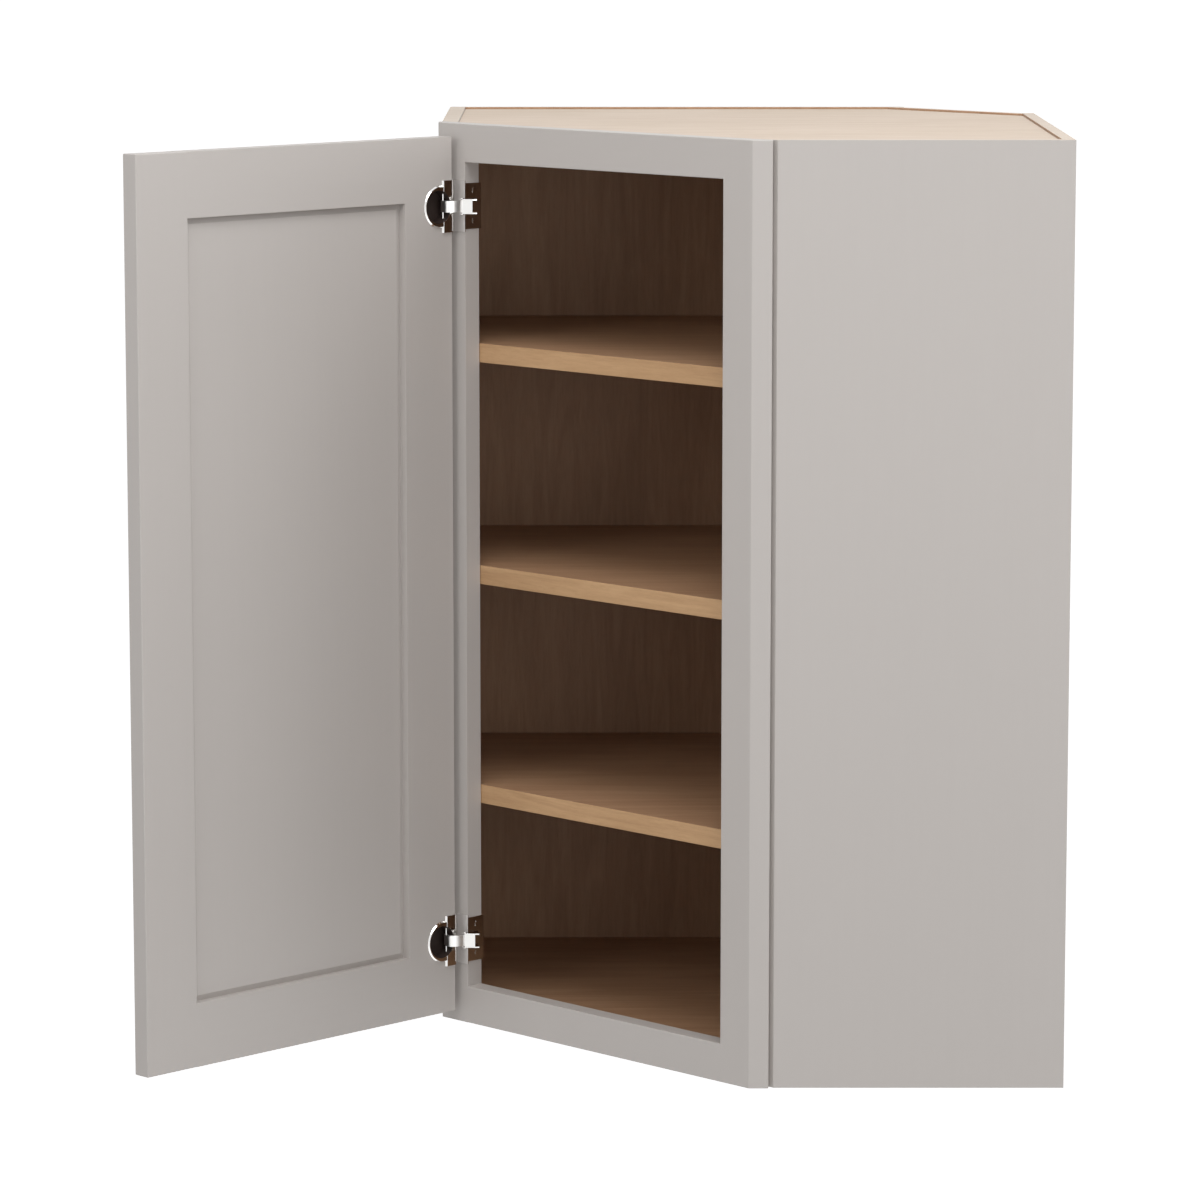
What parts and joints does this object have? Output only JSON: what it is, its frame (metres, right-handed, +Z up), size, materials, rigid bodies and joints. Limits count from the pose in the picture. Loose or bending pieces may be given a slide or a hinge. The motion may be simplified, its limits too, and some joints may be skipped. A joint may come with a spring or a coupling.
{
  "type": "corner wall cabinet",
  "caption": "Diagonal corner wall cabinet with a painted face frame, a recessed-panel door on concealed hinges, adjustable shelves and a natural maple interior.",
  "frame": {"origin": "the room corner where the rear and right walls meet, level with the underside of the cabinet", "axes": "+X towards the right wall, +Y towards the rear wall, +Z up; the face frame looks towards -X -Y"},
  "size_m": [0.8976, 0.6189, 0.9144],
  "materials": {
    "painted_wood": "satin paint",
    "raw_plywood": "sanded, unfinished",
    "maple_veneer": "satin lacquer",
    "maple_edge": "satin lacquer",
    "hinge_nickel": "polished nickel plate",
    "pin_steel": "nickel plate",
    "dowel_plastic": "moulded"
  },
  "bodies": {
    "cabinet": {"left_end_panel": "painted_wood", "right_end_panel": "painted_wood", "rear_back_panel": "maple_veneer", "right_back_panel": "maple_veneer", "corner_back_panel": "maple_veneer", "top_panel": "raw_plywood", "bottom_panel": "maple_veneer", "frame_stile_left": "painted_wood", "frame_stile_right": "painted_wood", "frame_rail_top": "painted_wood", "frame_rail_bottom": "painted_wood", "upper_hinge_base_plate": "hinge_nickel", "upper_hinge_arm_pin": "hinge_nickel", "upper_hinge_screw_1": "hinge_nickel", "upper_hinge_screw_2": "hinge_nickel", "lower_hinge_base_plate": "hinge_nickel", "lower_hinge_arm_pin": "hinge_nickel", "lower_hinge_screw_1": "hinge_nickel", "lower_hinge_screw_2": "hinge_nickel", "bottom_shelf_pin_1": "pin_steel", "bottom_shelf_pin_2": "pin_steel", "bottom_shelf_pin_3": "pin_steel", "bottom_shelf_pin_4": "pin_steel", "middle_shelf_pin_1": "pin_steel", "middle_shelf_pin_2": "pin_steel", "middle_shelf_pin_3": "pin_steel", "middle_shelf_pin_4": "pin_steel", "top_shelf_pin_1": "pin_steel", "top_shelf_pin_2": "pin_steel", "top_shelf_pin_3": "pin_steel", "top_shelf_pin_4": "pin_steel"},
    "upper_arm": {"upper_hinge_arm": "hinge_nickel"},
    "lower_arm": {"lower_hinge_arm": "hinge_nickel"},
    "door": {"door_stile_hinge": "painted_wood", "door_stile_free": "painted_wood", "door_rail_top": "painted_wood", "door_rail_bottom": "painted_wood", "door_panel": "painted_wood", "upper_hinge_cup": "hinge_nickel", "upper_hinge_cup_pin": "hinge_nickel", "upper_hinge_dowel_1": "dowel_plastic", "upper_hinge_dowel_2": "dowel_plastic", "lower_hinge_cup": "hinge_nickel", "lower_hinge_cup_pin": "hinge_nickel", "lower_hinge_dowel_1": "dowel_plastic", "lower_hinge_dowel_2": "dowel_plastic"},
    "bottom_shelf_board": {"bottom_shelf": "maple_veneer", "bottom_shelf_edge_band": "maple_edge"},
    "middle_shelf_board": {"middle_shelf": "maple_veneer", "middle_shelf_edge_band": "maple_edge"},
    "top_shelf_board": {"top_shelf": "maple_veneer", "top_shelf_edge_band": "maple_edge"}
  },
  "joints": [
    {"name": "upper_arm_swing", "type": "hinge", "parent": "cabinet", "child": "upper_arm", "pos_m": [-0.58556, -0.33422, 0.8327], "axis": [0, 0, 1], "range_deg": [-25.54, 4.3]},
    {"name": "door_swing", "type": "hinge", "parent": "upper_arm", "child": "door", "pos_m": [-0.60469, -0.33242, 0.8327], "axis": [0, 0, 1], "range_deg": [-19.25, 115.49]},
    {"name": "lower_arm_swing", "type": "hinge", "parent": "cabinet", "child": "lower_arm", "pos_m": [-0.58556, -0.33422, 0.0867], "axis": [0, 0, 1], "range_deg": [-25.54, 4.3]},
    {"name": "bottom_shelf_lift", "type": "slide", "parent": "cabinet", "child": "bottom_shelf_board", "axis": [0, 0, 1], "range_m": [0, 0.02]},
    {"name": "middle_shelf_lift", "type": "slide", "parent": "cabinet", "child": "middle_shelf_board", "axis": [0, 0, 1], "range_m": [0, 0.02]},
    {"name": "top_shelf_lift", "type": "slide", "parent": "cabinet", "child": "top_shelf_board", "axis": [0, 0, 1], "range_m": [0, 0.02]}
  ],
  "couplings": [
    {"joint": "upper_arm_swing", "follows": "door_swing", "ratio": -0.22072},
    {"joint": "lower_arm_swing", "follows": "door_swing", "ratio": -0.22072}
  ]
}
